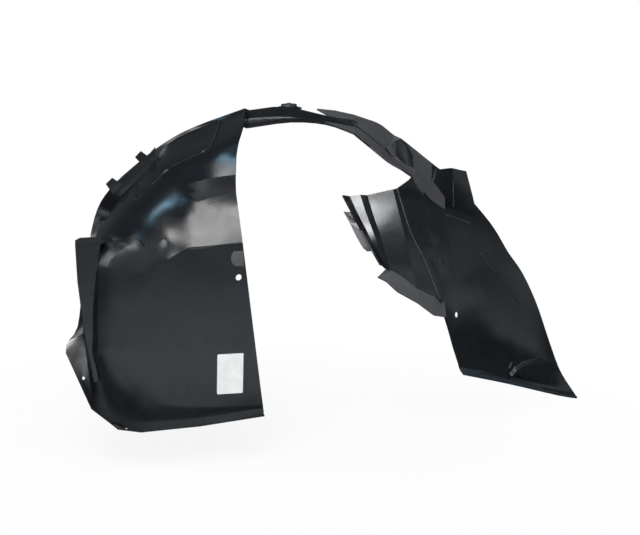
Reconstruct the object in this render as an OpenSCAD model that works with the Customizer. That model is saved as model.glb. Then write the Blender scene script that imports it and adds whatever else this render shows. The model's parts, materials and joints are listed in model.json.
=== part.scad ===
// Front wheel arch liner: one thin moulding with a push-in clip and a bare label.
// Frame: X runs to the rear of the car, Y outboard, Z up, origin at the bore of the inner panel.

/* [Moulding] */
// Wall of the moulding
wall = 2.5; // [1.8:0.1:3.5]
// Length from the front web to the tip of the rear flap
length = 845; // [760:5:920]
// Height from the foot of the rear flap to the crown flange
height = 489; // [440:5:530]
// Depth of the arch, from the inner panel to the flange round the wing edge
depth = 240; // [200:5:280]

/* [Holes] */
// Fixing bore in the inner panel
panel_bore = 9; // [6:0.5:12]
// Fixing bore in the rear flap
flap_bore = 9; // [6:0.5:11]
// Three small bores along the foot
foot_bore = 5; // [3:0.5:7]

/* [Top clip] */
// Shank of the push-in clip, which fills its bore in the tab
clip_shank = 8; // [6:0.5:9]
// Head disc of the clip
clip_head = 24; // [16:1:28]
// Thickness of the head disc
clip_head_t = 4; // [2:0.5:6]

/* [Label] */
// Width of the label
label_w = 38; // [20:1:50]
// Height of the label
label_h = 58; // [30:1:80]
// Thickness of the label
label_t = 0.3; // [0.2:0.1:1]

/* [Hidden] */
$fn = 48;

// Mesh steps between two sections along the tub, the crown strip, the pleats and the flap
tub_steps = 4;
crown_steps = 3;
rear_steps = 5;
flap_steps = 5;

// Bores along the foot, and the place of the clip
foot_bores = [[-155, 46, -216], [29, 28, -210]];
clip_place = [152, 253, 203];

// Sections of the front tub, from its outer edge to the edge of the flat panel: [x, y, z]
tub = [
    [[47, 36, -216], [43, 28, -209], [41, 20, -204], [39, 14, -200], [37, 9, -197], [36, 5, -195], [35, 2, -193], [34, 0, -188]],
    [[-48, 41, -224], [-52, 32, -217], [-55, 24, -212], [-58, 17, -207], [-60, 11, -203], [-62, 6, -199], [-62, 2, -192], [-60, 0, -182]],
    [[-134, 44, -226], [-132, 36, -219], [-131, 28, -213], [-130, 20, -207], [-131, 13, -202], [-130, 7, -196], [-126, 2, -186], [-118, 0, -170]],
    [[-167, 45, -219], [-163, 46, -215], [-162, 38, -209], [-161, 28, -202], [-160, 19, -194], [-157, 11, -185], [-150, 4, -173], [-135, 0, -155]],
    [[-199, 75, -194], [-193, 66, -190], [-190, 52, -185], [-188, 38, -180], [-187, 25, -173], [-184, 13, -163], [-174, 4, -148], [-150, 0, -130]],
    [[-227, 110, -118], [-200, 104, -112], [-202, 80, -110], [-204, 55, -107], [-205, 35, -105], [-204, 17, -103], [-192, 5, -100], [-160, 0, -92]],
    [[-206, 125, -84], [-200, 115, -82], [-202, 88, -80], [-204, 60, -79], [-205, 38, -78], [-204, 18, -77], [-192, 5, -75], [-158, 0, -70]],
    [[-186, 175, -26], [-184, 160, -26], [-192, 125, -24], [-198, 85, -22], [-202, 50, -20], [-202, 22, -18], [-190, 6, -16], [-155, 0, -12]],
    [[-154, 240, 51], [-138, 238, 40], [-162, 180, 40], [-178, 125, 41], [-190, 75, 42], [-194, 38, 42], [-180, 10, 35], [-145, 0, 15]],
    [[-130, 240, 93], [-114, 238, 80], [-138, 180, 84], [-150, 130, 85], [-156, 82, 85], [-152, 42, 79], [-142, 12, 58], [-126, 0, 22]],
    [[-86, 240, 131], [-76, 238, 118], [-96, 180, 118], [-106, 130, 117], [-112, 84, 110], [-114, 46, 97], [-114, 14, 66], [-110, 0, 28]],
    [[-44, 240, 160], [-42, 238, 156], [-52, 180, 148], [-62, 125, 140], [-70, 90, 119], [-72, 84, 113], [-76, 42, 91], [-75, 0, 46]],
    [[1, 240, 181], [2, 238, 177], [-5, 180, 168], [-16, 120, 160], [-24, 93, 145], [-31, 62, 131], [-36, 50, 104], [-50, 0, 48]],
    [[77, 235, 206], [75, 226, 203], [50, 150, 192], [31, 106, 178], [23, 90, 159], [12, 54, 137], [11, 50, 112], [6, 0, 50]]
];
// All sections of the panel run to this corner beside the cut edge
panel_corner = [31, 0, -165];

// Sections of the crown strip: flange edge, flange root, free edge of the ledge
crown = [
    [[87, 240, 202], [84, 240, 186], [71, 205, 182]],
    [[142, 240, 205], [142, 240, 188], [142, 212, 187]],
    [[207, 240, 189], [205, 240, 180], [200, 218, 180]],
    [[248, 240, 181], [248, 240, 171], [238, 208, 166]],
    [[266, 262, 177], [259, 240, 167], [244, 205, 162]],
    [[306, 285, 168], [288, 240, 146], [272, 190, 137]],
    [[330, 284, 150], [306, 239, 128], [290, 186, 122]],
    [[334, 281, 147], [315, 240, 121], [310, 184, 110]]
];

// Sections of the rear wall down to the end of the pleats, outer edge first
rear = [
    [[342, 273, 143], [341, 218, 112], [327, 184, 98], [269, 92, 97], [257, 78, 99], [226, 102, 88], [213, 97, 90], [200, 106, 87], [185, 92, 92]],
    [[393, 272, 102], [342, 172, 76], [328, 150, 70], [275, 81, 67], [262, 65, 65], [229, 85, 62], [217, 81, 64], [206, 87, 64], [194, 76, 68]],
    [[427, 258, 72], [371, 180, 50], [347, 150, 43], [282, 71, 36], [268, 54, 30], [234, 70, 36], [222, 65, 40], [214, 70, 41], [203, 62, 45]],
    [[482, 245, 7], [430, 200, 14], [375, 145, 3], [302, 64, -8], [274, 46, -5], [239, 59, 9], [228, 54, 15], [222, 58, 17], [214, 51, 20]],
    [[511, 236, -42], [466, 199, -37], [387, 125, -48], [328, 64, -70], [284, 44, -44], [246, 54, -19], [236, 48, -12], [233, 51, -8], [227, 45, -5]]
];
// Sections of the flap below the pleats, ending with its turned lip
flap = [
    [[535, 230, -78], [484, 194, -72], [407, 120, -72], [338, 68, -97]],
    [[558, 224, -129], [509, 186, -121], [422, 118, -111], [346, 70, -120]],
    [[577, 217, -187], [534, 176, -178], [436, 120, -152], [354, 73, -144]],
    [[594, 209, -236], [555, 178, -221], [454, 128, -191], [362, 75, -166]],
    [[617, 205, -273], [577, 186, -260], [466, 136, -218], [368, 78, -181]],
    [[617, 190, -278], [577, 171, -265], [466, 121, -223], [368, 64, -186]]
];

// Steps across each strip between two guide lines, and whether the line that starts it is a fold
tub_cuts = [2, 3, 2, 2, 2, 2, 3];
tub_folds = [1, 1, 0, 0, 0.9, 0.9, 0.6, 0];
soft_folds = [1, 1, 0, 0, 0, 0, 0, 0];
// Up to this section the foot's outer edge runs straight from corner to corner
last_corner = 5;
crown_cuts = [2, 3];
rear_cuts = [2, 3, 5, 1, 1, 1, 1, 1];
rear_folds = [1, 0, 0, 1, 1, 1, 1, 1, 1];

// Smooth curve through evenly spaced points, at t
function curve(p, t) =
    let (i = min(floor(t), len(p) - 2), u = t - i,
         a = p[i], b = p[i + 1],
         m = i > 0 ? (b - p[i - 1]) / 2 : b - a,
         n = i + 2 < len(p) ? (p[i + 2] - a) / 2 : b - a)
    a * (1 + 2 * u) * (1 - u) * (1 - u) + m * u * (1 - u) * (1 - u)
    + b * u * u * (3 - 2 * u) + n * u * u * (u - 1);

// The same between points i and i + 1, where a fold of 1 stops the curve from carrying on
function across(p, folds, i, u) =
    let (a = p[i], b = p[i + 1],
         m = i > 0 ? (b - a) * folds[i] + (b - p[i - 1]) / 2 * (1 - folds[i]) : b - a,
         n = i + 2 < len(p) ? (b - a) * folds[i + 1] + (p[i + 2] - a) / 2 * (1 - folds[i + 1]) : b - a)
    a * (1 + 2 * u) * (1 - u) * (1 - u) + m * u * (1 - u) * (1 - u)
    + b * u * u * (3 - 2 * u) + n * u * u * (u - 1);

function column(table, j) = [for (row = table) row[j]];

// One row of the mesh at t, with each strip cut into its steps
function row_at(table, t, cuts, folds) =
    let (p = [for (j = [0:len(cuts)]) curve(column(table, j), t)])
    concat([for (j = [0:len(cuts) - 1], k = [0:cuts[j] - 1]) across(p, folds, j, k / cuts[j])],
           [p[len(cuts)]]);

function grid(table, steps, cuts, folds) =
    [for (i = [0:(len(table) - 1) * steps]) row_at(table, i / steps, cuts, folds)];

function unit(v) = v / norm(v);

// Each mesh point moved square to the sheet by the wall
function inner(g) =
    [for (i = [0:len(g) - 1]) [for (j = [0:len(g[i]) - 1])
        let (a = g[max(i - 1, 0)][min(j, len(g[max(i - 1, 0)]) - 1)],
             n1 = min(i + 1, len(g) - 1),
             b = g[n1][min(j, len(g[n1]) - 1)],
             c = g[i][max(j - 1, 0)], d = g[i][min(j + 1, len(g[i]) - 1)])
        g[i][j] + unit(cross(b - a, d - c)) * wall]];

function total(list, n) = n <= 0 ? 0 : list[n - 1] + total(list, n - 1);

// All points are drawn for 845 by 240 by 489 and follow the chosen sizes
long = length / 845;
deep = depth / 240;
tall = height / 489;
function at(p) = [p[0] * long, p[1] * deep, p[2] * tall];
function sized(table) = [for (r = table) [for (p = r) at(p)]];

// The folds of the tub are crisp near the cut edge and fade into the round front
function tub_row(table, t) =
    let (k = min(max(t - 10, 0), 1), row = row_at(table, t, tub_cuts, soft_folds * (1 - k) + tub_folds * k),
         i = min(floor(t), len(table) - 2), u = t - i,
         edge = t < last_corner ? table[i][0] * (1 - u) + table[i + 1][0] * u : row[0],
         shift = edge - row[0])
    [for (j = [0:len(row) - 1]) j < tub_cuts[0] ? row[j] + shift * (1 - j / tub_cuts[0]) : row[j]];

tub_table = sized(tub);
corner = at(panel_corner);
tub_grid = [for (i = [0:(len(tub) - 1) * tub_steps])
    let (r = tub_row(tub_table, i / tub_steps)) concat(r, [r[len(r) - 1] * 0.85 + corner * 0.15])];
crown_grid = grid(sized(crown), crown_steps, crown_cuts, [1, 1, 1]);
wide_grid = grid(sized(rear), rear_steps, rear_cuts, rear_folds);
narrow_grid = grid(sized(concat([[for (j = [0:3]) rear[len(rear) - 1][j]]], flap)), flap_steps,
    [rear_cuts[0], rear_cuts[1], rear_cuts[2]], rear_folds);
rear_grid = concat(wide_grid, [for (i = [1:len(narrow_grid) - 1]) narrow_grid[i]]);

tub_n = len(tub_grid[0]);
crown_n = len(crown_grid[0]);
wide_n = len(wide_grid[0]);
narrow_n = len(narrow_grid[0]);
tub_rows = len(tub_grid);
crown_rows = len(crown_grid);
wide_rows = len(wide_grid);
rear_rows = len(rear_grid);
ledge = total(crown_cuts, 2);

function flat_list(g) = [for (r = g) for (p = r) p];
outer_points = concat(flat_list(tub_grid), flat_list(crown_grid), flat_list(wide_grid),
    [for (i = [wide_rows:rear_rows - 1]) for (p = rear_grid[i]) p], [corner]);
inner_points = concat(flat_list(inner(tub_grid)), flat_list(inner(crown_grid)), flat_list(inner(wide_grid)),
    [for (i = [wide_rows:rear_rows - 1]) for (p = inner(rear_grid)[i]) p], [corner + [0, wall, 0]]);
count = len(outer_points);

crown_start = tub_rows * tub_n;
rear_start = crown_start + crown_rows * crown_n;
flap_start = rear_start + wide_rows * wide_n;
corner_index = count - 1;

function tub_i(i, j) = i * tub_n + j;
function crown_i(i, j) = crown_start + i * crown_n + j;
function rear_i(i, j) = i < wide_rows ? rear_start + i * wide_n + j
    : flap_start + (i - wide_rows) * narrow_n + j;
function quad(a, b, c, d) = [[a, b, c], [a, c, d]];

// Triangles of the outer side, turned clockwise as seen from outside
sheet = [
    for (i = [0:tub_rows - 2], j = [0:tub_n - 2])
        each quad(tub_i(i, j), tub_i(i + 1, j), tub_i(i + 1, j + 1), tub_i(i, j + 1)),
    for (i = [0:tub_rows - 2]) [tub_i(i, tub_n - 1), tub_i(i + 1, tub_n - 1), corner_index],
    for (j = [0:ledge - 1])
        each quad(tub_i(tub_rows - 1, j), crown_i(0, j), crown_i(0, j + 1), tub_i(tub_rows - 1, j + 1)),
    for (i = [0:crown_rows - 2], j = [0:ledge - 1])
        each quad(crown_i(i, j), crown_i(i + 1, j), crown_i(i + 1, j + 1), crown_i(i, j + 1)),
    for (j = [0:ledge - 1])
        each quad(crown_i(crown_rows - 1, j), rear_i(0, j), rear_i(0, j + 1), crown_i(crown_rows - 1, j + 1)),
    for (i = [0:rear_rows - 2], j = [0:(i < wide_rows - 1 ? wide_n : narrow_n) - 2])
        each quad(rear_i(i, j), rear_i(i + 1, j), rear_i(i + 1, j + 1), rear_i(i, j + 1))
];

// The free edge of the sheet, all the way round
rim = concat(
    [for (i = [0:tub_rows - 1]) tub_i(i, 0)],
    [for (i = [0:crown_rows - 1]) crown_i(i, 0)],
    [for (i = [0:rear_rows - 1]) rear_i(i, 0)],
    [for (j = [1:narrow_n - 1]) rear_i(rear_rows - 1, j)],
    [for (i = [rear_rows - 2:-1:wide_rows - 1]) rear_i(i, narrow_n - 1)],
    [for (j = [narrow_n:wide_n - 1]) rear_i(wide_rows - 1, j)],
    [for (i = [wide_rows - 2:-1:0]) rear_i(i, wide_n - 1)],
    [for (j = [wide_n - 2:-1:ledge]) rear_i(0, j)],
    [for (i = [crown_rows - 1:-1:0]) crown_i(i, ledge)],
    [for (j = [ledge:tub_n - 1]) tub_i(tub_rows - 1, j)],
    [corner_index],
    [for (j = [tub_n - 1:-1:1]) tub_i(0, j)]
);

module shell() {
    polyhedron(
        points = concat(outer_points, inner_points),
        faces = concat(
            sheet,
            [for (t = sheet) [t[2] + count, t[1] + count, t[0] + count]],
            [for (i = [0:len(rim) - 1])
                let (p = rim[i], q = rim[(i + 1) % len(rim)])
                each quad(q, p, p + count, q + count)]
        )
    );
}

// A thin skin over rows of points, which lie on its outer side
module skin(rows) {
    g = sized(rows);
    n = len(g);
    m = len(g[0]);
    half = n * m;
    loop = concat([for (i = [0:n - 1]) i * m], [for (j = [1:m - 1]) (n - 1) * m + j],
        [for (i = [n - 2:-1:0]) i * m + m - 1], [for (j = [m - 2:-1:1]) j]);
    polyhedron(points = concat(flat_list(g), flat_list(inner(g))), faces = concat(
        [for (i = [0:n - 2], j = [0:m - 2])
            each quad(i * m + j, i * m + m + j, i * m + m + j + 1, i * m + j + 1)],
        [for (i = [0:n - 2], j = [0:m - 2])
            each quad(half + i * m + j, half + i * m + j + 1, half + i * m + m + j + 1, half + i * m + m + j)],
        [for (i = [0:len(loop) - 1])
            let (p = loop[i], q = loop[(i + 1) % len(loop)]) each quad(q, p, p + half, q + half)]
    ));
}

// A plate across the arch, drawn in X and Z, with its inboard face at y
module plate(y, outline, t = wall) {
    translate([0, y * deep, 0]) rotate([90, 0, 0]) mirror([0, 0, 1])
        linear_extrude(t) polygon([for (q = outline) [q[0] * long, q[1] * tall]]);
}

// Flat web and top of the box that stands at the tub's front edge
module front_box() {
    plate(22, [[-226, 58], [-224, 4], [-217, -63], [-204, -140], [-200, -140], [-194, 40], [-190, 58]]);
    translate([0, 0, 56 * tall]) scale([long, deep, 1]) linear_extrude(wall)
        polygon([[-226, 22], [-186, 22], [-184, 60], [-212, 60], [-222, 44]]);
}

// Tabs that stand out of the flange round the wing edge
module rim_tabs() {
    plate(238.8, [[-136, 101], [-126, 110], [-112, 100], [-126, 86]]);
    plate(238.8, [[-91, 139], [-82, 148], [-68, 137], [-79, 125]]);
    plate(238.8, [[-72, 140], [-60, 153], [-63, 138], [-66, 134]]);
}

// Deflector: two thin walls that meet at an upright front edge
module prow() {
    skin([[[381, 214, 101], [373, 222, 74], [357, 184, 49]],
          [[398, 198, 105], [399, 197, 76], [401, 198, 33]],
          [[433, 226, 94], [442, 220, 55], [458, 227, 5]]]);
}

// Leading part of the outer band, behind the crown flange
module band_tip() {
    skin([[[216, 242, 187], [247, 243, 179], [265, 263, 176], [302, 283, 168]],
          [[207, 285, 194], [236, 287, 190], [268, 287, 182], [304, 286, 169]]]);
}

// Upright step on the ledge where the crown strip meets the rear wall
module nose() {
    skin([[[308, 237, 129], [319, 234, 116], [330, 232, 108], [338, 228, 103], [340, 208, 101]],
          [[304, 239, 135], [315, 250, 141], [328, 260, 144], [341, 262, 142], [343, 245, 132]]]);
}

// Raised pad near the foot of the flap
module boss() {
    skin([[[490, 149, -225], [504, 155, -230], [518, 161, -236], [538, 170, -243], [560, 180, -251], [582, 192, -258]],
          [[479, 138, -219], [488, 140, -210], [505, 147, -206], [532, 160, -207], [560, 181, -213], [581, 196, -231]],
          [[472, 143, -211], [484, 147, -201], [504, 156, -196], [533, 172, -198], [564, 195, -204], [590, 212, -224]]]);
}

// Turned strips along the free edges of the pleats
module pleat_lips() {
    skin([[[222, 44, -23], [234, 38, -29], [250, 34, -45], [283, 36, -65], [312, 44, -87], [335, 56, -94]],
          [[240, 52, -13], [251, 55, -17], [267, 50, -28], [290, 49, -42], [317, 62, -56], [345, 80, -70]]]);
    skin([[[184, 88, 68], [191, 80, 52], [197, 68, 34], [204, 58, 19], [210, 54, 15]],
          [[198, 82, 68], [204, 73, 53], [210, 63, 36], [216, 56, 23], [220, 54, 14]]]);
}

// Tab behind the flange that takes the clip
module clip_tab() {
    place = at(clip_place);
    translate([place[0], 0, place[2] - wall])
        linear_extrude(wall)
            polygon([[-16, 239 * deep], [16, 239 * deep], [13, place[1] + 12], [-13, place[1] + 12]]);
}

module liner() {
    color("#22262b")
    difference() {
        union() {
            shell();
            front_box();
            rim_tabs();
            prow();
            band_tip();
            nose();
            boss();
            pleat_lips();
            clip_tab();
        }
        rotate([-90, 0, 0]) cylinder(d = panel_bore, h = 4 * wall, center = true);
        translate(at([363, 84, -99])) rotate([0, 97, 125]) cylinder(d = flap_bore, h = 24, center = true);
        for (p = foot_bores) translate(at(p))
            rotate([-45, 0, 0]) cylinder(d = foot_bore, h = 24, center = true);
        translate(at([-206, 91, -152])) rotate([0, 96, 54]) cylinder(d = foot_bore, h = 24, center = true);
        translate(at(clip_place)) cylinder(d = clip_shank, h = 4 * wall, center = true);
    }
}

// Push-in clip: head disc with a knob above, shank with a rounded end below
module top_clip() {
    color("#191c20")
    translate(at(clip_place)) {
        cylinder(d = clip_head, h = clip_head_t);
        cylinder(d = clip_head / 4, h = clip_head_t + 2);
        translate([0, 0, -3 - wall]) cylinder(d = clip_shank, h = 3 + wall);
        translate([0, 0, -13 - wall]) cylinder(d1 = clip_shank / 2, d2 = clip_shank + 1.5, h = 10);
    }
}

module label() {
    color("white")
    translate(at([-14, 0, -138]))
        rotate([0, 1.5, 0])
            translate([-label_w / 2, -label_t, -label_h / 2])
                cube([label_w, label_t, label_h]);
}

liner();
top_clip();
label();
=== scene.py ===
import json
import math

import bpy
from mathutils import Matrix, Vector

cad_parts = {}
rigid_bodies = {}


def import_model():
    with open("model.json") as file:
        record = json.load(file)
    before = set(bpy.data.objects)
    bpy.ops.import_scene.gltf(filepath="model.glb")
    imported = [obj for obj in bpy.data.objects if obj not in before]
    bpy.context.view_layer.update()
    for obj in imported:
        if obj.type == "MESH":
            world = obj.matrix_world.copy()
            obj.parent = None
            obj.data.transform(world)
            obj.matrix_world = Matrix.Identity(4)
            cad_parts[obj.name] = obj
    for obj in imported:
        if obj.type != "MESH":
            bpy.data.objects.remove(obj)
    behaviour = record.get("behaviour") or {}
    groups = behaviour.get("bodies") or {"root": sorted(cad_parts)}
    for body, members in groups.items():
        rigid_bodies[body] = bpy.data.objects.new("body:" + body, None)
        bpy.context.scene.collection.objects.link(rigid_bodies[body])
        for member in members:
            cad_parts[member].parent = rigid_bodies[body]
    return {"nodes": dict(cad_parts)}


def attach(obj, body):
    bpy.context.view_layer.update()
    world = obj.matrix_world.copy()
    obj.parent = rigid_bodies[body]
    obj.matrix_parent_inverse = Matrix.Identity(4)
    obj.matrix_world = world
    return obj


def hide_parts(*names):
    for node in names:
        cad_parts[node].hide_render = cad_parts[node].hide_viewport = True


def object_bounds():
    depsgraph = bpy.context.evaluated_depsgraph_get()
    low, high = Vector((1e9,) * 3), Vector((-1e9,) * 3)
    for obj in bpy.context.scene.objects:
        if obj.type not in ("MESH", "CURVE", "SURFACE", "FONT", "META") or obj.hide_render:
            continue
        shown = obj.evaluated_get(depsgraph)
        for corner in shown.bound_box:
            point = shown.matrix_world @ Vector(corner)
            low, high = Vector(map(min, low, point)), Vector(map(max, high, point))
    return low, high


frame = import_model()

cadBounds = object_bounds()
print("frame loaded", cadBounds)

# the photograph's viewing angle
cameraValues = {
    "place": (-0.7374, -2.6371, 0.5960),
    "looksAt": (0.1089, -0.0323, 0.0138),
    "lens": 112.5,
    "sensor": 36.0,
    "farEnd": 50,
}


def aimed(thing, place, looksAt):
    # joins the scene at its place, facing what it looks at
    thing.location = place
    way = Vector(looksAt) - Vector(place)
    thing.rotation_euler = way.to_track_quat("-Z", "Y").to_euler()
    bpy.context.scene.collection.objects.link(thing)
    return thing


def addCamera():
    data = bpy.data.cameras.new("photoCamera")
    data.lens = cameraValues["lens"]
    data.sensor_width = cameraValues["sensor"]
    data.sensor_fit = "HORIZONTAL"
    data.clip_end = cameraValues["farEnd"]
    camera = bpy.data.objects.new("photoCamera", data)
    bpy.context.scene.camera = aimed(camera, cameraValues["place"], cameraValues["looksAt"])


addCamera()
bpy.context.scene.view_settings.view_transform = "Standard"
print("camera placed")


# tools for shaping the pieces

def selectOnly(piece):
    bpy.ops.object.select_all(action="DESELECT")
    piece.select_set(True)
    bpy.context.view_layer.objects.active = piece


def applyModifiers(piece):
    selectOnly(piece)
    for modifier in list(piece.modifiers):
        bpy.ops.object.modifier_apply(modifier=modifier.name)


def setPlace(piece):
    # the place, turn and size go into the mesh
    selectOnly(piece)
    bpy.ops.object.transform_apply(location=True, rotation=True, scale=True)


def smoothed(piece, angle):
    selectOnly(piece)
    bpy.ops.object.shade_smooth_by_angle(angle=math.radians(angle))


def addBevel(piece, name, width, angle):
    bevel = piece.modifiers.new(name, "BEVEL")
    bevel.width = width
    bevel.segments = 2
    bevel.limit_method = "ANGLE"
    bevel.angle_limit = math.radians(angle)


def selectFaces(piece, wanted):
    # picks faces by their middle and the way they face, and stays in edit mode
    bpy.ops.object.mode_set(mode="EDIT")
    bpy.ops.mesh.select_mode(type="FACE")
    bpy.ops.mesh.select_all(action="DESELECT")
    bpy.ops.object.mode_set(mode="OBJECT")
    for face in piece.data.polygons:
        face.select = bool(wanted(face.center, face.normal))
    bpy.ops.object.mode_set(mode="EDIT")


# tools for the finishes: each returns the output that the next one takes

def newMaterial(name):
    material = bpy.data.materials.new(name)
    material.use_nodes = True
    nodes = material.node_tree.nodes
    return material, nodes, material.node_tree.links, nodes["Principled BSDF"]


def noise(nodes, links, place, scale, detail, rough):
    node = nodes.new("ShaderNodeTexNoise")
    node.inputs["Scale"].default_value = scale
    node.inputs["Detail"].default_value = detail
    node.inputs["Roughness"].default_value = rough
    links.new(place, node.inputs["Vector"])
    return node.outputs["Fac"]


def spread(nodes, links, value, fromLow, fromHigh, toLow, toHigh):
    node = nodes.new("ShaderNodeMapRange")
    node.inputs["From Min"].default_value = fromLow
    node.inputs["From Max"].default_value = fromHigh
    node.inputs["To Min"].default_value = toLow
    node.inputs["To Max"].default_value = toHigh
    links.new(value, node.inputs["Value"])
    return node.outputs["Result"]


def bump(nodes, links, height, distance, strength, before=None):
    node = nodes.new("ShaderNodeBump")
    node.inputs["Distance"].default_value = distance
    node.inputs["Strength"].default_value = strength
    links.new(height, node.inputs["Height"])
    if before is not None:
        links.new(before, node.inputs["Normal"])
    return node.outputs["Normal"]


def mathNode(nodes, links, operation, first, second):
    node = nodes.new("ShaderNodeMath")
    node.operation = operation
    links.new(first, node.inputs[0])
    links.new(second, node.inputs[1])
    return node.outputs[0]


def vectorNode(nodes, links, operation, place, other=None):
    node = nodes.new("ShaderNodeVectorMath")
    node.operation = operation
    links.new(place, node.inputs[0])
    if other is not None:
        node.inputs[1].default_value = other
    return node.outputs["Value"]


def mixedTone(nodes, links, share, dark, pale):
    node = nodes.new("ShaderNodeMix")
    node.data_type = "RGBA"
    node.inputs[6].default_value = dark
    node.inputs[7].default_value = pale
    links.new(share, node.inputs[0])
    return node


def mixedShader(nodes, links, share, first, second):
    node = nodes.new("ShaderNodeMixShader")
    links.new(share, node.inputs[0])
    links.new(first, node.inputs[1])
    links.new(second, node.inputs[2])
    return node.outputs[0]


def cloudedTone(nodes, links, place, values):
    # uneven colour between the dark and the pale tone
    cloud = noise(nodes, links, place, *values["cloud"])
    share = spread(nodes, links, cloud, *values["cloudReach"], 0, 1)
    return mixedTone(nodes, links, share, values["dark"], values["pale"]).outputs[2]


glossReach = (0.3, 0.7)  # the part of a noise that changes the gloss


def addGloss(nodes, links, place, values, shader):
    # roughness that wanders between two levels
    wander = noise(nodes, links, place, *values["gloss"])
    rough = spread(nodes, links, wander, *glossReach, *values["rough"])
    links.new(rough, shader.inputs["Roughness"])
    shader.inputs["Specular IOR Level"].default_value = values["specular"]


def plainFinish(name, values):
    material, nodes, links, shader = newMaterial(name)
    place = nodes.new("ShaderNodeTexCoord").outputs["Object"]
    links.new(cloudedTone(nodes, links, place, values), shader.inputs["Base Color"])
    addGloss(nodes, links, place, values, shader)
    grain = noise(nodes, links, place, *values["grain"])
    links.new(bump(nodes, links, grain, *values["grainBump"]), shader.inputs["Normal"])
    return material


# black moulded plastic; a noise is its scale, detail and roughness, a bump its height and strength
plasticValues = {
    "dark": (0.0034, 0.0042, 0.0056, 1), "pale": (0.0085, 0.0100, 0.0130, 1),
    "cloud": (7, 6, 0.6), "cloudReach": (0.35, 0.75),
    "gloss": (22, 8, 0.65), "rough": (0.19, 0.30), "specular": 0.36, "refraction": 1.5,
    "grain": (900, 2, 0.5), "grainBump": (0.0003, 0.18),
    "wave": (14, 2, 0.4), "waveBump": (0.004, 0.35),
    "scuffPlace": (0.336, 0.096, -0.008), "scuffReach": 0.050, "scuffCore": 0.01,
    "scuffTone": (0.036, 0.038, 0.042, 1),
    "scuffs": (55, 6, 0.7), "scuffsReach": (0.42, 0.62),
}


def mouldingFinish():
    values = plasticValues
    material, nodes, links, shader = newMaterial("blackMoulding")
    place = nodes.new("ShaderNodeTexCoord").outputs["Object"]
    # faint cloudiness and dust in the black
    tone = cloudedTone(nodes, links, place, values)
    # the scuffed patch on the rear wall
    reach = vectorNode(nodes, links, "DISTANCE", place, values["scuffPlace"])
    near = spread(nodes, links, reach, values["scuffReach"], values["scuffCore"], 0, 1)
    scuffs = noise(nodes, links, place, *values["scuffs"])
    rubbed = spread(nodes, links, scuffs, *values["scuffsReach"], 0, 1)
    share = mathNode(nodes, links, "MULTIPLY", near, rubbed)
    scuffed = mixedTone(nodes, links, share, values["dark"], values["scuffTone"])
    links.new(tone, scuffed.inputs[6])
    links.new(scuffed.outputs[2], shader.inputs["Base Color"])
    # gloss changes where the sheet was handled
    addGloss(nodes, links, place, values, shader)
    shader.inputs["IOR"].default_value = values["refraction"]
    # fine moulded grain over a slow waviness of the sheet
    wave = bump(nodes, links, noise(nodes, links, place, *values["wave"]), *values["waveBump"])
    grain = noise(nodes, links, place, *values["grain"])
    links.new(bump(nodes, links, grain, *values["grainBump"], wave), shader.inputs["Normal"])
    return material


# the sheet's duller finishes, which paint sheen, highlights, reflection and shade into the colour: dark
# tone, pale tone, grain scale, specular
dullValues = {
    # painted sheen: a paler grey for the overhead light that the outer band and strips reflect, over a
    # grained finish
    "grainedBandPaintedSheen": ((0.052, 0.053, 0.059, 1), (0.078, 0.079, 0.087, 1), 700, 0.3),
    # painted highlight: a pale tone that draws the bright line along creases
    "paintedHighlightBright": ((0.050, 0.053, 0.058, 1), (0.100, 0.104, 0.110, 1), 500, 0.3),
    # painted highlight: a paler tone that makes beads and ridges read as lit lines
    "paintedHighlightSoft": ((0.022, 0.023, 0.026, 1), (0.042, 0.044, 0.048, 1), 500, 0.3),
    # painted reflection: a bluish grey for the light that the lip at the flap's foot reflects
    "lipPaintedReflection": ((0.018, 0.026, 0.036, 1), (0.028, 0.038, 0.050, 1), 600, 0.2),
    # painted shade: a matt black with little gloss, so hollows, grooves and the pocket read as shaded
    "dullPaintedShade": ((0.005, 0.0055, 0.007, 1), (0.010, 0.011, 0.013, 1), 600, 0.1),
}


def dullFinish(name):
    dark, pale, grainScale, specular = dullValues[name]
    grain = (grainScale, 3, 0.6)
    return plainFinish(name, {
        "dark": dark, "pale": pale, "cloud": (9, 5, 0.55), "cloudReach": (0.35, 0.7),
        "gloss": grain, "rough": (0.48, 0.60), "specular": specular,
        "grain": grain, "grainBump": (0.0003, 0.3),
    })


finishes = {"blackMoulding": mouldingFinish()}
for finishName in dullValues:
    finishes[finishName] = dullFinish(finishName)
print("moulding finishes ready")


# the moulding itself
linerValues = {
    "mergeGap": 0.00002, "softAngle": 26, "foldRound": 0.0008, "flatWeight": 80,
    "domeLow": (-0.185, 0.020, 0.066), "domeHigh": (-0.075, 0.200, 0.150),
    "domeEase": 0.5, "domePasses": 14,
    "finishes": ("blackMoulding", "grainedBandPaintedSheen", "dullPaintedShade", "lipPaintedReflection"),
}
# where the outer band behind the crown lies, without the uprights on it; its faces get the paler painted
# sheen
bandValues = {
    "startX": 0.190, "startZ": 0.045, "endX": 0.385,
    "riserEndX": 0.262, "riserFacing": -0.5,
    "finStartX": 0.35, "finFacing": -0.3,
    "stepX": (0.30, 0.345), "stepFacing": -0.2,
    "highZ": 0.100, "slantX": 0.2, "slantZ": 0.2, "slant": 0.3,
    "bendX": 0.342, "bendZ": 0.076, "edgeAbove": 0.162, "riseAbove": 1.0,
    "edgeBelow": 0.174, "riseBelow": 0.30,
}
# the turned strips along the free edges of the pleats, above and below the fold, which get the same paler
# painted sheen
stripValues = {
    "foldZ": 0.010, "aboveToX": 0.222, "aboveX": 0.17, "aboveEdge": 0.2235, "aboveLean": 0.45,
    "belowX": (0.218, 0.337), "belowY": 0.08, "belowZ": -0.009, "belowLean": 0.65, "belowFrom": 0.227,
}
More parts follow.
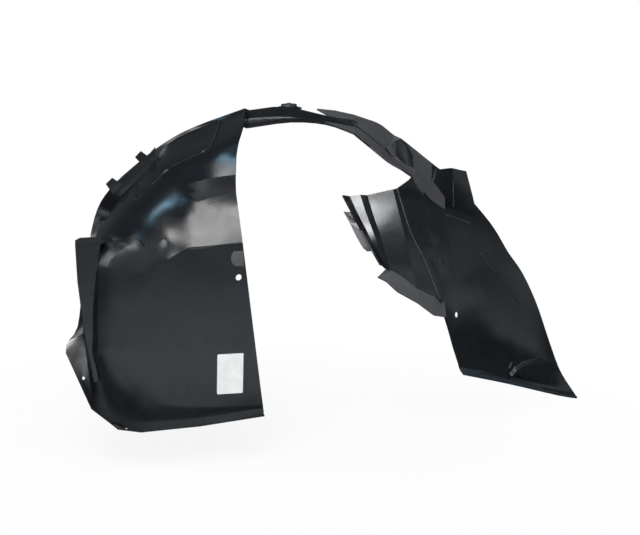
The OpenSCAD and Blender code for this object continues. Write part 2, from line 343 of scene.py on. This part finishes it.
# the turned end of the pocket below the wedge, and the shaded side of the step, which get the matt black
# of painted shade
hollowValues = {
    "wedgeX": (-0.050, 0.013), "wedgeY": 0.075, "wedgeZ": (0.105, 0.132), "wedgeFacing": 0.62,
    "stepX": (0.30, 0.345), "stepZ": (0.10, 0.147), "stepFacing": -0.2,
}
# the lip along the foot of the flap, which gets a painted bluish reflection
lipValues = {"x": 0.36, "y": 0.05, "z": -0.186, "fall": 0.395, "fallFrom": 0.38}


def mergedCopy(nodeName, pieceName, gap):
    # the node's own mesh stays as it is: a copy is merged
    selectOnly(frame["nodes"][nodeName])
    bpy.ops.object.duplicate(linked=False)
    piece = bpy.context.active_object
    bpy.ops.object.parent_clear(type="CLEAR_KEEP_TRANSFORM")
    for key in list(piece.keys()):
        del piece[key]
    piece.name = pieceName
    piece.data.name = pieceName
    piece.data.materials.clear()
    bpy.ops.mesh.customdata_custom_splitnormals_clear()
    bpy.ops.object.mode_set(mode="EDIT")
    bpy.ops.mesh.select_all(action="SELECT")
    bpy.ops.mesh.remove_doubles(threshold=gap)
    bpy.ops.object.mode_set(mode="OBJECT")
    return piece


def easeDome(piece):
    # the round front of the tub is evened out between its sections
    low, high = linerValues["domeLow"], linerValues["domeHigh"]
    selectFaces(piece, lambda at, facing: all(low[i] < at[i] < high[i] for i in range(3)))
    bpy.ops.mesh.vertices_smooth(factor=linerValues["domeEase"], repeat=linerValues["domePasses"])
    bpy.ops.object.mode_set(mode="OBJECT")


def roundFolds(piece):
    # crisp folds and rims get a narrow rounded edge that catches light
    addBevel(piece, "folds", linerValues["foldRound"], linerValues["softAngle"])
    applyModifiers(piece)
    smoothed(piece, linerValues["softAngle"])
    weighted = piece.modifiers.new("evenShade", "WEIGHTED_NORMAL")
    weighted.weight = linerValues["flatWeight"]
    weighted.keep_sharp = True
    applyModifiers(piece)


def between(value, ends):
    return ends[0] < value < ends[1]


def isBand(at, facing):
    v = bandValues
    if at.x <= v["startX"] or at.z <= v["startZ"]:
        return False
    onRiser = at.x < v["riserEndX"] and facing.y < v["riserFacing"]
    onFin = at.x > v["finStartX"] and facing.x < v["finFacing"]
    onStep = between(at.x, v["stepX"]) and facing.x < v["stepFacing"]
    if onRiser or onFin or onStep:
        return False
    if at.z > v["highZ"]:
        return at.x > v["slantX"] + (v["slantZ"] - at.z) * v["slant"]
    if at.z > v["bendZ"]:
        edge = v["edgeAbove"] + (at.z - v["bendZ"]) * v["riseAbove"]
    else:
        edge = v["edgeBelow"] + (at.x - v["bendX"]) * v["riseBelow"]
    return at.y > edge and at.x < v["endX"]


def isStrip(at):
    v = stripValues
    if at.x > bandValues["startX"] and at.z > bandValues["startZ"]:
        return False
    if at.z > v["foldZ"] and at.x < v["aboveToX"]:
        return v["aboveX"] < at.x < v["aboveEdge"] - v["aboveLean"] * at.z
    lowEnough = at.z < v["belowZ"] - v["belowLean"] * (at.x - v["belowFrom"])
    return between(at.x, v["belowX"]) and at.y < v["belowY"] and lowEnough


def isHollow(at, facing):
    v = hollowValues
    if between(at.x, v["wedgeX"]) and between(at.z, v["wedgeZ"]) and at.y < v["wedgeY"]:
        return facing.z < v["wedgeFacing"]
    return between(at.x, v["stepX"]) and between(at.z, v["stepZ"]) and facing.x < v["stepFacing"]


def isLip(at):
    v = lipValues
    return at.x > v["x"] and at.y > v["y"] and at.z < v["z"] - v["fall"] * (at.x - v["fallFrom"])


def paintFaces(piece):
    for finishName in linerValues["finishes"]:
        piece.data.materials.append(finishes[finishName])
    for face in piece.data.polygons:
        at, facing = face.center, face.normal
        # painted reflection on the lip, painted shade in the hollows, painted sheen on the band and
        # strips
        if isLip(at):
            face.material_index = 3
        elif isHollow(at, facing):
            face.material_index = 2
        elif isBand(at, facing) or isStrip(at):
            face.material_index = 1
        else:
            face.material_index = 0


linerSkin = mergedCopy("liner", "linerSkin", linerValues["mergeGap"])
easeDome(linerSkin)
roundFolds(linerSkin)
paintFaces(linerSkin)
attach(linerSkin, "root")
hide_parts("liner")
print("moulding done", len(linerSkin.data.polygons), "faces")


# beads and creases on the sheet, in millimetres; their paler finishes are painted highlights, and the
# groove's matt black is painted shade
detailValues = {
    # name: points, side, width, height, finish
    "seam": ([(37, 227, 190), (22, 190, 183), (9, 156, 174), (-5, 129, 165), (-16, 125, 160),
              (-38, 129, 151), (-72, 132, 136), (-97, 121, 121)], (0, 0, 1), 1.6, 0.4, "paintedHighlightSoft"),
    "panelCrease": ([(4, 0, 50), (-22, 0, 49), (-48, 0, 46), (-70, 1, 45), (-88, 7, 51)],
                    (0, 0, 1), 1.6, 0.25, "paintedHighlightSoft"),
    "pleatCrease": ([(268, 91, 97), (272, 84, 78), (276, 78, 60), (282, 71, 36), (290, 67, 15),
                     (302, 64, -8), (315, 64, -38), (327, 64, -68)], (1, 0, 0), 2.2, 0.9, "paintedHighlightBright"),
    "bandRidge": ([(439, 181, -28), (457, 184, -50), (475, 186, -70), (494, 190, -92), (512, 193, -114)],
                  (1, 0, 0.5), 2.6, 0.9, "paintedHighlightSoft"),
    "finFoot": ([(380, 175, 36), (392, 182, 32), (405, 188, 26), (418, 194, 21), (430, 201, 15)],
                (0, 0, 1), 3.4, 1.1, "paintedHighlightSoft"),
    "finEdge": ([(400, 198, 84), (400, 198, 70), (401, 198, 56), (401, 198, 44)],
                (1, 0, 0), 1.4, 0.5, "paintedHighlightSoft"),
    # the groove is a raised matt black bead: painted shade along it
    "bandGroove": ([(257, 241, 169), (267, 241, 162), (276, 239, 155), (285, 237, 147), (296, 238, 138)],
                   (0, 0, 1), 3.0, 1.0, "dullPaintedShade"),
    "pocketLip": ([(-125, 121, 105), (-125, 104, 106), (-119, 101, 109), (-114, 105, 112)],
                  (0, 0, 1), 1.4, 0.5, "paintedHighlightSoft"),
    "footArc": ([(486, 142, -208), (492, 146, -205), (503, 151, -201), (519, 160, -201), (536, 171, -204),
                 (555, 182, -207)], (0, 0, 1), 2.2, 0.7, "paintedHighlightSoft"),
    "footStroke": ([(480, 141, -196), (477, 140, -200), (474, 139, -205)],
                   (1, 0, 0), 2.6, 0.8, "paintedHighlightBright"),
}
beadValues = {"thick": 0.0016, "cuts": 2, "edgeShare": 0.4}
# all these small forms: millimetres in a metre, and the angles where edges round and shade softly
formValues = {"perMetre": 1000, "roundAngle": 30, "softAngle": 35}


def sheetPiece(name, rows):
    # a grid whose corners are moved one by one to the wanted points
    across, along = len(rows[0]), len(rows)
    bpy.ops.object.select_all(action="DESELECT")
    bpy.ops.mesh.primitive_grid_add(x_subdivisions=across - 1, y_subdivisions=along - 1, size=0.02)
    piece = bpy.context.active_object
    piece.name = name
    places = [Vector(point) / formValues["perMetre"] for row in rows for point in row]
    bpy.ops.object.mode_set(mode="EDIT")
    bpy.ops.mesh.select_mode(type="VERT")
    for i, place in enumerate(places):
        bpy.ops.mesh.select_all(action="DESELECT")
        bpy.ops.object.mode_set(mode="OBJECT")
        corner = piece.data.vertices[i]
        corner.select = True
        step = place - corner.co
        bpy.ops.object.mode_set(mode="EDIT")
        bpy.ops.transform.translate(value=step)
    # its outer side faces the way the sheet is seen
    bpy.ops.mesh.select_all(action="SELECT")
    bpy.ops.object.mode_set(mode="OBJECT")
    outward = sum((face.normal * face.area for face in piece.data.polygons), Vector())
    if outward.dot(Vector(cameraValues["looksAt"]) - Vector(cameraValues["place"])) > 0:
        bpy.ops.object.mode_set(mode="EDIT")
        bpy.ops.mesh.flip_normals()
        bpy.ops.object.mode_set(mode="OBJECT")
    return piece


def layOnSheet(piece, above):
    wrap = piece.modifiers.new("lay", "SHRINKWRAP")
    wrap.target = linerSkin
    wrap.wrap_mode = "ABOVE_SURFACE"
    wrap.offset = above


def finishPiece(piece, thick, edge, finishName):
    # the wall goes inwards from the sheet's surface
    solid = piece.modifiers.new("wall", "SOLIDIFY")
    solid.thickness = thick
    solid.offset = -1
    addBevel(piece, "edges", edge, formValues["roundAngle"])
    applyModifiers(piece)
    smoothed(piece, formValues["softAngle"])
    piece.data.materials.append(finishes[finishName])
    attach(piece, "root")


def layBead(name):
    points, side, wide, high, finishName = detailValues[name]
    side = Vector(side).normalized() * wide / 2
    rows = [[tuple(Vector(point) + side * way) for point in points] for way in (-1, 1)]
    piece = sheetPiece(name, rows)
    bpy.ops.object.mode_set(mode="EDIT")
    bpy.ops.mesh.select_all(action="SELECT")
    bpy.ops.mesh.subdivide(number_cuts=beadValues["cuts"])
    bpy.ops.object.mode_set(mode="OBJECT")
    high = high / formValues["perMetre"]
    layOnSheet(piece, high)
    finishPiece(piece, beadValues["thick"], high * beadValues["edgeShare"], finishName)


for beadName in detailValues:
    layBead(beadName)
print("beads and creases done")


# painted shade of the narrow sunk pocket on the front round: a thin dark matt sheet laid on the moulding
pocketShadeValues = {
    "rows": [[(-105, 178, 112), (-104, 174, 113)],
             [(-114, 153, 110), (-112, 136, 112)],
             [(-122, 127, 107), (-118, 108, 110)]],
    "above": 0.0005, "thick": 0.0016, "edge": 0.0003, "finish": "dullPaintedShade",
}
# the cut-back patch at the panel's edge, paler with the band's painted sheen
patchValues = {
    "rows": [[(-7, -0.25, 38), (6.5, -0.25, 38)],
             [(-10, -0.25, 34), (6.8, -0.25, 33)],
             [(-11.5, -0.25, 28), (7, -0.25, 28)],
             [(-9.5, -0.25, 21), (7.4, -0.25, 21)],
             [(-5, -0.25, 17), (7.8, -0.25, 15.5)]],
    "thick": 0.0012, "edge": 0.0001, "finish": "grainedBandPaintedSheen",
}
# the lit rounding where the ledge meets the standing rim of the crown
crownLipValues = {
    "rows": [[(82, 238.2, 185.6), (98, 238, 186.6), (114, 238, 187.2),
              (132, 238, 187.6), (150, 238, 187.0), (170, 238.6, 185.8)],
             [(82, 240.0, 189.2), (98, 239.8, 190.2), (114, 239.8, 190.8),
              (132, 239.8, 191.2), (150, 239.8, 190.6), (170, 239.4, 187.3)]],
    "thick": 0.0012, "edge": 0.0002, "finish": "blackMoulding",
}
# the upright step between the ledge and the outer band, dark with the matt black of painted shade
stepValues = {
    "rows": [[(312, 249, 128), (321, 236, 117), (326, 222, 111), (331, 209, 105), (338, 202, 99)],
             [(315, 246, 136), (323, 248, 143), (329, 240, 146), (335, 232, 137), (341, 222, 121)],
             [(321, 262, 135), (332, 274, 141), (343, 276, 142), (350, 268, 134), (351, 244, 119)]],
    "thick": 0.0020, "edge": 0.0003, "finish": "dullPaintedShade",
}


def layForm(name, values):
    piece = sheetPiece(name, values["rows"])
    if "above" in values:
        layOnSheet(piece, values["above"])
    finishPiece(piece, values["thick"], values["edge"], values["finish"])


layForm("roundPocketShade", pocketShadeValues)
layForm("edgePatch", patchValues)
layForm("crownLip", crownLipValues)
layForm("ledgeStep", stepValues)
print("small forms done")


# the push-in clip in the crown
clipValues = {
    "x": 0.152, "y": 0.253, "z": 0.203, "sides": 48,
    "headRadius": 0.012, "headHigh": 0.004,
    "rimWide": 0.0025, "rimDeep": 0.0006,
    "knobRadius": 0.003, "knobHigh": 0.002, "knobWall": 0.0006,
    "shankRadius": 0.004, "shankLow": 0.0055, "shoulderLow": 0.0008,
    "legRadius": 0.00475, "legLow": 0.0155, "legTaper": 0.45,
    "edge": 0.0005, "roundAngle": 40, "softAngle": 35,
    "finish": {
        "dark": (0.012, 0.012, 0.014, 1), "pale": (0.026, 0.027, 0.030, 1),
        "cloud": (420, 3, 0.6), "cloudReach": (0.35, 0.7),
        "gloss": (420, 3, 0.6), "rough": (0.38, 0.55), "specular": 0.4,
        "grain": (420, 3, 0.6), "grainBump": (0.0002, 0.3),
    },
}


def insetFaces(wide, deep):
    bpy.ops.mesh.inset(thickness=wide, depth=deep)


def extrudeFaces(rise):
    bpy.ops.mesh.extrude_region_move(TRANSFORM_OT_translate={"value": (0, 0, rise)})


def widenFaces(share):
    middle = (clipValues["x"], clipValues["y"], 0)
    bpy.ops.transform.resize(value=(share, share, 1), center_override=middle)


def makeClip():
    v = clipValues
    bpy.ops.object.select_all(action="DESELECT")
    bpy.ops.mesh.primitive_cylinder_add(
        vertices=v["sides"], radius=v["headRadius"], depth=v["headHigh"],
        location=(v["x"], v["y"], v["z"] + v["headHigh"] / 2))
    clip = bpy.context.active_object
    clip.name = "topClipHead"
    setPlace(clip)
    # sunk ring round the knob, then the knob itself, from the faces that look up
    selectFaces(clip, lambda at, facing: facing.z > 0.9)
    insetFaces(v["rimWide"], -v["rimDeep"])
    insetFaces(v["headRadius"] - v["rimWide"] - v["knobRadius"] - v["knobWall"], 0)
    insetFaces(v["knobWall"], 0)
    extrudeFaces(v["rimDeep"] + v["knobHigh"])
    # shank and legs below the head, from the faces that look down
    bpy.ops.object.mode_set(mode="OBJECT")
    selectFaces(clip, lambda at, facing: facing.z < -0.9)
    insetFaces(v["headRadius"] - v["shankRadius"], 0)
    extrudeFaces(-v["shankLow"])
    extrudeFaces(-v["shoulderLow"])
    widenFaces(v["legRadius"] / v["shankRadius"])
    extrudeFaces(-(v["legLow"] - v["shankLow"] - v["shoulderLow"]))
    widenFaces(v["legTaper"])
    bpy.ops.object.mode_set(mode="OBJECT")
    addBevel(clip, "edges", v["edge"], v["roundAngle"])
    applyModifiers(clip)
    smoothed(clip, v["softAngle"])
    clip.data.materials.append(plainFinish("dullBlackClip", v["finish"]))
    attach(clip, "root")
    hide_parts("top_clip")


makeClip()
print("clip done")


# the bare label on the inner panel
labelValues = {
    "x": -0.014, "z": -0.138, "wide": 0.038, "high": 0.058, "thick": 0.0003,
    "turn": 1.5, "corner": 0.0018, "cornerSteps": 5, "softAngle": 30,
    "finish": {
        "dark": (0.64, 0.66, 0.66, 1), "pale": (0.74, 0.75, 0.75, 1),
        "cloud": (60, 5, 0.6), "cloudReach": (0.35, 0.65),
        "gloss": (60, 5, 0.6), "rough": (0.32, 0.48), "specular": 0.4,
        "grain": (700, 3, 0.6), "grainBump": (0.0001, 0.25),
    },
}


def makeLabel():
    v = labelValues
    bpy.ops.object.select_all(action="DESELECT")
    bpy.ops.mesh.primitive_cube_add(size=1, location=(v["x"], -v["thick"] / 2, v["z"]),
                                    rotation=(0, math.radians(v["turn"]), 0),
                                    scale=(v["wide"], v["thick"], v["high"]))
    label = bpy.context.active_object
    label.name = "labelSheet"
    setPlace(label)
    # the four short edges become rounded corners
    bpy.ops.object.mode_set(mode="EDIT")
    bpy.ops.mesh.select_mode(type="EDGE")
    bpy.ops.mesh.select_all(action="DESELECT")
    bpy.ops.object.mode_set(mode="OBJECT")
    for edge in label.data.edges:
        first, second = (label.data.vertices[i].co for i in edge.vertices)
        edge.select = abs(first.y - second.y) > v["thick"] / 2
    bpy.ops.object.mode_set(mode="EDIT")
    bpy.ops.mesh.bevel(offset=v["corner"], segments=v["cornerSteps"], affect="EDGES")
    bpy.ops.object.mode_set(mode="OBJECT")
    smoothed(label, v["softAngle"])
    label.data.materials.append(plainFinish("blankLabel", v["finish"]))
    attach(label, "root")
    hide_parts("label")


makeLabel()
print("label done")


# the room: white to the camera, and dark with a lit front side to the gloss
roomValues = {
    "ambient": 0.10, "ambientTint": (0.93, 0.96, 1.0, 1),
    "frontWay": (0.643, -0.766, 0.0), "frontReach": (0.3, 1.0),
    "back": 0.10, "front": 1.25, "tint": (0.82, 0.93, 1.0, 1),
}
lampValues = {
    # name, place, aim, width, height, power, colour
    # one plain soft light for the colours, which doesn't show in the gloss
    "plain": ("plainSoftbox", (-0.8, -1.6, 1.9), (0.0, 0.1, -0.1), 1.6, 1.6, 92, (1.0, 1.0, 1.0)),
    # cards that only show in the gloss
    "cards": [
        ("leftSoftbox", (-2.0, 0.15, 1.25), (0.0, 0.1, 0.0), 1.4, 1.2, 27, (0.94, 0.97, 1.0)),
        ("keySoftbox", (-1.46, -1.25, 1.55), (0.2, 0.1, 0.05), 1.3, 0.9, 118, (0.98, 0.99, 1.0)),
        ("fillSoftbox", (-0.50, -1.80, 1.80), (0.0, 0.1, 0.1), 0.7, 0.8, 14, (0.96, 0.98, 1.0)),
        ("frontOverhead", (0.28, -0.66, 2.15), (0.0, 0.0, 0.1), 0.8, 0.45, 20, (1.0, 1.0, 1.0)),
        ("frontCard", (0.81, -1.53, 1.52), (0.1, 0.24, 0.19), 0.25, 0.25, 9, (1.0, 1.0, 1.0)),
        ("backOverhead", (0.22, 0.98, 2.0), (0.0, 0.1, 0.1), 0.5, 0.5, 7, (0.97, 0.99, 1.0)),
        ("blueStrip", (-0.17, 0.62, 2.0), (-0.1, 0.05, 0.1), 0.22, 0.26, 3.2, (0.37, 0.75, 1.0)),
    ],
}
floorValues = {
    "size": 16, "x": 0.2, "y": 0.1, "below": 0.001,
    "colour": (0.90, 0.90, 0.90, 1), "rough": 0.9,
    "fadeReach": (0.35, 0.8), "fade": (0.9, 1),
    # what the gloss shows of it: a lit patch in front, shaded under the part
    "litX": 0.05, "litY": -0.45, "litReach": (0.3, 1.3), "near": 1.8, "far": 0.22,
    "shadeReach": (-0.42, -0.20), "under": 0.14, "tint": (0.84, 0.95, 1.0, 1),
}


def backgroundNode(nodes, tint, strength):
    node = nodes.new("ShaderNodeBackground")
    node.inputs["Color"].default_value = tint
    node.inputs["Strength"].default_value = strength
    return node


def addWorld():
    v = roomValues
    world = bpy.data.worlds.new("studioWorld")
    bpy.context.scene.world = world
    world.use_nodes = True
    nodes = world.node_tree.nodes
    links = world.node_tree.links
    nodes.clear()
    path = nodes.new("ShaderNodeLightPath").outputs
    inGloss = mathNode(nodes, links, "MAXIMUM", path["Is Glossy Ray"], path["Is Transmission Ray"])
    way = nodes.new("ShaderNodeTexCoord").outputs["Generated"]
    front = vectorNode(nodes, links, "DOT_PRODUCT", way, v["frontWay"])
    soft = backgroundNode(nodes, v["ambientTint"], v["ambient"])
    room = backgroundNode(nodes, v["tint"], v["back"])
    lit = spread(nodes, links, front, *v["frontReach"], v["back"], v["front"])
    links.new(lit, room.inputs["Strength"])
    white = backgroundNode(nodes, (1, 1, 1, 1), 1.0)
    around = mixedShader(nodes, links, inGloss, soft.outputs[0], room.outputs[0])
    seen = mixedShader(nodes, links, path["Is Camera Ray"], around, white.outputs[0])
    links.new(seen, nodes.new("ShaderNodeOutputWorld").inputs["Surface"])


def addLamp(name, place, looksAt, width, height, power, colour):
    data = bpy.data.lights.new(name, "AREA")
    data.shape = "RECTANGLE"
    data.size = width
    data.size_y = height
    data.energy = power
    data.color = colour
    return aimed(bpy.data.objects.new(name, data), place, looksAt)


def addLamps():
    addLamp(*lampValues["plain"]).visible_glossy = False
    for card in lampValues["cards"]:
        addLamp(*card).visible_diffuse = False


def addFloor():
    v = floorValues
    ground = cadBounds[0][2]
    bpy.ops.object.select_all(action="DESELECT")
    bpy.ops.mesh.primitive_plane_add(size=v["size"], location=(v["x"], v["y"], ground - v["below"]))
    floor = bpy.context.active_object
    floor.name = "studioFloor"
    setPlace(floor)
    material, nodes, links, shader = newMaterial("paleFloor")
    shader.inputs["Base Color"].default_value = v["colour"]
    shader.inputs["Roughness"].default_value = v["rough"]
    shader.inputs["Specular IOR Level"].default_value = 0.0
    place = nodes.new("ShaderNodeTexCoord").outputs["Object"]
    path = nodes.new("ShaderNodeLightPath").outputs
    # to the camera it fades into the white background away from the part
    away = vectorNode(nodes, links, "LENGTH", place)
    fade = spread(nodes, links, away, *v["fadeReach"], *v["fade"])
    share = mathNode(nodes, links, "MULTIPLY", fade, path["Is Camera Ray"])
    glow = nodes.new("ShaderNodeEmission").outputs[0]
    seen = mixedShader(nodes, links, share, shader.outputs[0], glow)
    # to the gloss it is a dark room's floor
    offPatch = vectorNode(nodes, links, "DISTANCE", place, (v["litX"], v["litY"], ground))
    patch = spread(nodes, links, offPatch, *v["litReach"], v["near"], v["far"])
    parts = nodes.new("ShaderNodeSeparateXYZ")
    links.new(place, parts.inputs[0])
    shade = spread(nodes, links, parts.outputs["Y"], *v["shadeReach"], 1.0, v["under"])
    mirrored = nodes.new("ShaderNodeEmission")
    mirrored.inputs["Color"].default_value = v["tint"]
    links.new(mathNode(nodes, links, "MULTIPLY", patch, shade), mirrored.inputs["Strength"])
    surface = mixedShader(nodes, links, path["Is Glossy Ray"], seen, mirrored.outputs[0])
    links.new(surface, nodes["Material Output"].inputs["Surface"])
    floor.data.materials.append(material)


addWorld()
addLamps()
addFloor()
print("studio ready")
